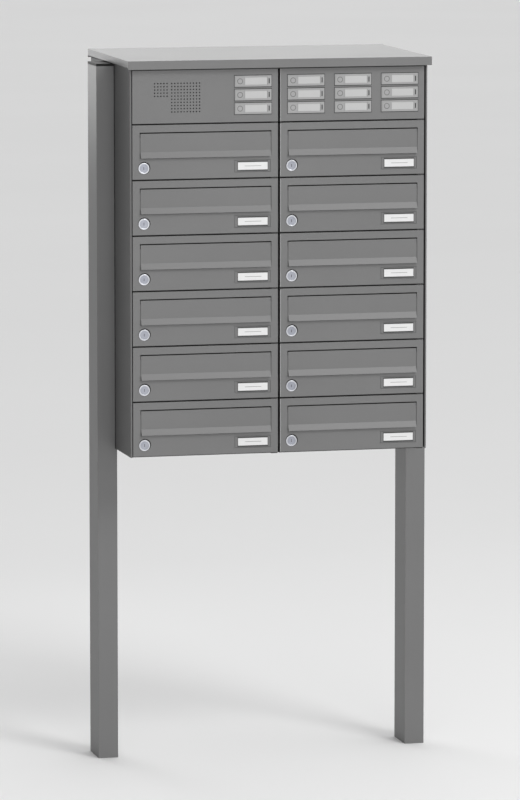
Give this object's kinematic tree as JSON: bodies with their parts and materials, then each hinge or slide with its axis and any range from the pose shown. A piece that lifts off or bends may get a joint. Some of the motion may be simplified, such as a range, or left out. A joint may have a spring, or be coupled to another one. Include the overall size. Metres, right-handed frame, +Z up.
{
  "type": "cluster mailbox unit",
  "caption": "Free-standing mailbox unit on two posts: grid of letterbox doors with mail flaps and locks under a row of intercom and bell panels and a flat roof.",
  "frame": {"origin": "on the ground, under the middle of the roof: X 0 is the seam between the two columns, Y 0 the middle of the roof's depth", "axes": "+Z up along the posts, -Y towards the person who stands in front of the doors, +X to that person's right"},
  "size_m": [0.68, 0.375, 1.4175],
  "materials": {
    "paint": "satin powder coat",
    "cap_plastic": "satin",
    "zinc_steel": "zinc plated",
    "lock_metal": "satin nickel",
    "module_plastic": "satin",
    "button_plastic": "satin"
  },
  "bodies": {
    "casing": {"casing_walls": "paint", "shelves": "paint", "side_cladding": "paint", "roof": "paint", "posts": "paint", "post_caps": "cap_plastic", "post_bolts": "zinc_steel", "door_fittings": "zinc_steel", "intercom_panel": "paint", "bell_panel": "paint", "bell_modules": "module_plastic", "speech_unit": "cap_plastic"},
    "door_01": {"door_01": "paint"},
    "door_02": {"door_02": "paint"},
    "door_03": {"door_03": "paint"},
    "door_04": {"door_04": "paint"},
    "door_05": {"door_05": "paint"},
    "door_06": {"door_06": "paint"},
    "door_07": {"door_07": "paint"},
    "door_08": {"door_08": "paint"},
    "door_09": {"door_09": "paint"},
    "door_10": {"door_10": "paint"},
    "door_11": {"door_11": "paint"},
    "door_12": {"door_12": "paint"},
    "flap_01": {"flap_01": "paint"},
    "flap_02": {"flap_02": "paint"},
    "flap_03": {"flap_03": "paint"},
    "flap_04": {"flap_04": "paint"},
    "flap_05": {"flap_05": "paint"},
    "flap_06": {"flap_06": "paint"},
    "flap_07": {"flap_07": "paint"},
    "flap_08": {"flap_08": "paint"},
    "flap_09": {"flap_09": "paint"},
    "flap_10": {"flap_10": "paint"},
    "flap_11": {"flap_11": "paint"},
    "flap_12": {"flap_12": "paint"},
    "lock_01": {"lock_01": "lock_metal"},
    "lock_02": {"lock_02": "lock_metal"},
    "lock_03": {"lock_03": "lock_metal"},
    "lock_04": {"lock_04": "lock_metal"},
    "lock_05": {"lock_05": "lock_metal"},
    "lock_06": {"lock_06": "lock_metal"},
    "lock_07": {"lock_07": "lock_metal"},
    "lock_08": {"lock_08": "lock_metal"},
    "lock_09": {"lock_09": "lock_metal"},
    "lock_10": {"lock_10": "lock_metal"},
    "lock_11": {"lock_11": "lock_metal"},
    "lock_12": {"lock_12": "lock_metal"},
    "call_button_01": {"call_button_01": "button_plastic"},
    "call_button_02": {"call_button_02": "button_plastic"},
    "call_button_03": {"call_button_03": "button_plastic"},
    "call_button_04": {"call_button_04": "button_plastic"},
    "call_button_05": {"call_button_05": "button_plastic"},
    "call_button_06": {"call_button_06": "button_plastic"},
    "call_button_07": {"call_button_07": "button_plastic"},
    "call_button_08": {"call_button_08": "button_plastic"},
    "call_button_09": {"call_button_09": "button_plastic"},
    "call_button_10": {"call_button_10": "button_plastic"},
    "call_button_11": {"call_button_11": "button_plastic"},
    "call_button_12": {"call_button_12": "button_plastic"}
  },
  "joints": [
    {"name": "box_01_door", "type": "hinge", "parent": "casing", "child": "door_01", "pos_m": [-0.01025, -0.1711, 1.235], "axis": [0, 0, 1], "range_deg": [0, 100]},
    {"name": "box_01_flap", "type": "hinge", "parent": "door_01", "child": "flap_01", "pos_m": [-0.15, -0.17, 1.2685], "axis": [-1, 0, 0], "range_deg": [0, 75]},
    {"name": "box_01_lock", "type": "hinge", "parent": "door_01", "child": "lock_01", "pos_m": [-0.2755, -0.1565, 1.2035], "axis": [0, 1, 0], "range_deg": [0, 90]},
    {"name": "bell_01_button", "type": "slide", "parent": "casing", "child": "call_button_01", "axis": [0, 1, 0], "range_m": [0, 0.0012], "stiffness_N_per_m": 600, "springref_m": -0.0005},
    {"name": "box_02_door", "type": "hinge", "parent": "casing", "child": "door_02", "pos_m": [0.28975, -0.1711, 1.235], "axis": [0, 0, 1], "range_deg": [0, 100]},
    {"name": "box_03_door", "type": "hinge", "parent": "casing", "child": "door_03", "pos_m": [-0.01025, -0.1711, 1.125], "axis": [0, 0, 1], "range_deg": [0, 100]},
    {"name": "box_04_door", "type": "hinge", "parent": "casing", "child": "door_04", "pos_m": [0.28975, -0.1711, 1.125], "axis": [0, 0, 1], "range_deg": [0, 100]},
    {"name": "box_05_door", "type": "hinge", "parent": "casing", "child": "door_05", "pos_m": [-0.01025, -0.1711, 1.015], "axis": [0, 0, 1], "range_deg": [0, 100]},
    {"name": "box_06_door", "type": "hinge", "parent": "casing", "child": "door_06", "pos_m": [0.28975, -0.1711, 1.015], "axis": [0, 0, 1], "range_deg": [0, 100]},
    {"name": "box_07_door", "type": "hinge", "parent": "casing", "child": "door_07", "pos_m": [-0.01025, -0.1711, 0.905], "axis": [0, 0, 1], "range_deg": [0, 100]},
    {"name": "box_08_door", "type": "hinge", "parent": "casing", "child": "door_08", "pos_m": [0.28975, -0.1711, 0.905], "axis": [0, 0, 1], "range_deg": [0, 100]},
    {"name": "box_09_door", "type": "hinge", "parent": "casing", "child": "door_09", "pos_m": [-0.01025, -0.1711, 0.795], "axis": [0, 0, 1], "range_deg": [0, 100]},
    {"name": "box_10_door", "type": "hinge", "parent": "casing", "child": "door_10", "pos_m": [0.28975, -0.1711, 0.795], "axis": [0, 0, 1], "range_deg": [0, 100]},
    {"name": "box_11_door", "type": "hinge", "parent": "casing", "child": "door_11", "pos_m": [-0.01025, -0.1711, 0.685], "axis": [0, 0, 1], "range_deg": [0, 100]},
    {"name": "box_12_door", "type": "hinge", "parent": "casing", "child": "door_12", "pos_m": [0.28975, -0.1711, 0.685], "axis": [0, 0, 1], "range_deg": [0, 100]},
    {"name": "box_02_flap", "type": "hinge", "parent": "door_02", "child": "flap_02", "pos_m": [0.15, -0.17, 1.2685], "axis": [-1, 0, 0], "range_deg": [0, 75]},
    {"name": "box_03_flap", "type": "hinge", "parent": "door_03", "child": "flap_03", "pos_m": [-0.15, -0.17, 1.1585], "axis": [-1, 0, 0], "range_deg": [0, 75]},
    {"name": "box_04_flap", "type": "hinge", "parent": "door_04", "child": "flap_04", "pos_m": [0.15, -0.17, 1.1585], "axis": [-1, 0, 0], "range_deg": [0, 75]},
    {"name": "box_05_flap", "type": "hinge", "parent": "door_05", "child": "flap_05", "pos_m": [-0.15, -0.17, 1.0485], "axis": [-1, 0, 0], "range_deg": [0, 75]},
    {"name": "box_06_flap", "type": "hinge", "parent": "door_06", "child": "flap_06", "pos_m": [0.15, -0.17, 1.0485], "axis": [-1, 0, 0], "range_deg": [0, 75]},
    {"name": "box_07_flap", "type": "hinge", "parent": "door_07", "child": "flap_07", "pos_m": [-0.15, -0.17, 0.9385], "axis": [-1, 0, 0], "range_deg": [0, 75]},
    {"name": "box_08_flap", "type": "hinge", "parent": "door_08", "child": "flap_08", "pos_m": [0.15, -0.17, 0.9385], "axis": [-1, 0, 0], "range_deg": [0, 75]},
    {"name": "box_09_flap", "type": "hinge", "parent": "door_09", "child": "flap_09", "pos_m": [-0.15, -0.17, 0.8285], "axis": [-1, 0, 0], "range_deg": [0, 75]},
    {"name": "box_10_flap", "type": "hinge", "parent": "door_10", "child": "flap_10", "pos_m": [0.15, -0.17, 0.8285], "axis": [-1, 0, 0], "range_deg": [0, 75]},
    {"name": "box_11_flap", "type": "hinge", "parent": "door_11", "child": "flap_11", "pos_m": [-0.15, -0.17, 0.7185], "axis": [-1, 0, 0], "range_deg": [0, 75]},
    {"name": "box_12_flap", "type": "hinge", "parent": "door_12", "child": "flap_12", "pos_m": [0.15, -0.17, 0.7185], "axis": [-1, 0, 0], "range_deg": [0, 75]},
    {"name": "box_02_lock", "type": "hinge", "parent": "door_02", "child": "lock_02", "pos_m": [0.0245, -0.1565, 1.2035], "axis": [0, 1, 0], "range_deg": [0, 90]},
    {"name": "box_03_lock", "type": "hinge", "parent": "door_03", "child": "lock_03", "pos_m": [-0.2755, -0.1565, 1.0935], "axis": [0, 1, 0], "range_deg": [0, 90]},
    {"name": "box_04_lock", "type": "hinge", "parent": "door_04", "child": "lock_04", "pos_m": [0.0245, -0.1565, 1.0935], "axis": [0, 1, 0], "range_deg": [0, 90]},
    {"name": "box_05_lock", "type": "hinge", "parent": "door_05", "child": "lock_05", "pos_m": [-0.2755, -0.1565, 0.9835], "axis": [0, 1, 0], "range_deg": [0, 90]},
    {"name": "box_06_lock", "type": "hinge", "parent": "door_06", "child": "lock_06", "pos_m": [0.0245, -0.1565, 0.9835], "axis": [0, 1, 0], "range_deg": [0, 90]},
    {"name": "box_07_lock", "type": "hinge", "parent": "door_07", "child": "lock_07", "pos_m": [-0.2755, -0.1565, 0.8735], "axis": [0, 1, 0], "range_deg": [0, 90]},
    {"name": "box_08_lock", "type": "hinge", "parent": "door_08", "child": "lock_08", "pos_m": [0.0245, -0.1565, 0.8735], "axis": [0, 1, 0], "range_deg": [0, 90]},
    {"name": "box_09_lock", "type": "hinge", "parent": "door_09", "child": "lock_09", "pos_m": [-0.2755, -0.1565, 0.7635], "axis": [0, 1, 0], "range_deg": [0, 90]},
    {"name": "box_10_lock", "type": "hinge", "parent": "door_10", "child": "lock_10", "pos_m": [0.0245, -0.1565, 0.7635], "axis": [0, 1, 0], "range_deg": [0, 90]},
    {"name": "box_11_lock", "type": "hinge", "parent": "door_11", "child": "lock_11", "pos_m": [-0.2755, -0.1565, 0.6535], "axis": [0, 1, 0], "range_deg": [0, 90]},
    {"name": "box_12_lock", "type": "hinge", "parent": "door_12", "child": "lock_12", "pos_m": [0.0245, -0.1565, 0.6535], "axis": [0, 1, 0], "range_deg": [0, 90]},
    {"name": "bell_02_button", "type": "slide", "parent": "casing", "child": "call_button_02", "axis": [0, 1, 0], "range_m": [0, 0.0012], "stiffness_N_per_m": 600, "springref_m": -0.0005},
    {"name": "bell_03_button", "type": "slide", "parent": "casing", "child": "call_button_03", "axis": [0, 1, 0], "range_m": [0, 0.0012], "stiffness_N_per_m": 600, "springref_m": -0.0005},
    {"name": "bell_04_button", "type": "slide", "parent": "casing", "child": "call_button_04", "axis": [0, 1, 0], "range_m": [0, 0.0012], "stiffness_N_per_m": 600, "springref_m": -0.0005},
    {"name": "bell_05_button", "type": "slide", "parent": "casing", "child": "call_button_05", "axis": [0, 1, 0], "range_m": [0, 0.0012], "stiffness_N_per_m": 600, "springref_m": -0.0005},
    {"name": "bell_06_button", "type": "slide", "parent": "casing", "child": "call_button_06", "axis": [0, 1, 0], "range_m": [0, 0.0012], "stiffness_N_per_m": 600, "springref_m": -0.0005},
    {"name": "bell_07_button", "type": "slide", "parent": "casing", "child": "call_button_07", "axis": [0, 1, 0], "range_m": [0, 0.0012], "stiffness_N_per_m": 600, "springref_m": -0.0005},
    {"name": "bell_08_button", "type": "slide", "parent": "casing", "child": "call_button_08", "axis": [0, 1, 0], "range_m": [0, 0.0012], "stiffness_N_per_m": 600, "springref_m": -0.0005},
    {"name": "bell_09_button", "type": "slide", "parent": "casing", "child": "call_button_09", "axis": [0, 1, 0], "range_m": [0, 0.0012], "stiffness_N_per_m": 600, "springref_m": -0.0005},
    {"name": "bell_10_button", "type": "slide", "parent": "casing", "child": "call_button_10", "axis": [0, 1, 0], "range_m": [0, 0.0012], "stiffness_N_per_m": 600, "springref_m": -0.0005},
    {"name": "bell_11_button", "type": "slide", "parent": "casing", "child": "call_button_11", "axis": [0, 1, 0], "range_m": [0, 0.0012], "stiffness_N_per_m": 600, "springref_m": -0.0005},
    {"name": "bell_12_button", "type": "slide", "parent": "casing", "child": "call_button_12", "axis": [0, 1, 0], "range_m": [0, 0.0012], "stiffness_N_per_m": 600, "springref_m": -0.0005}
  ]
}
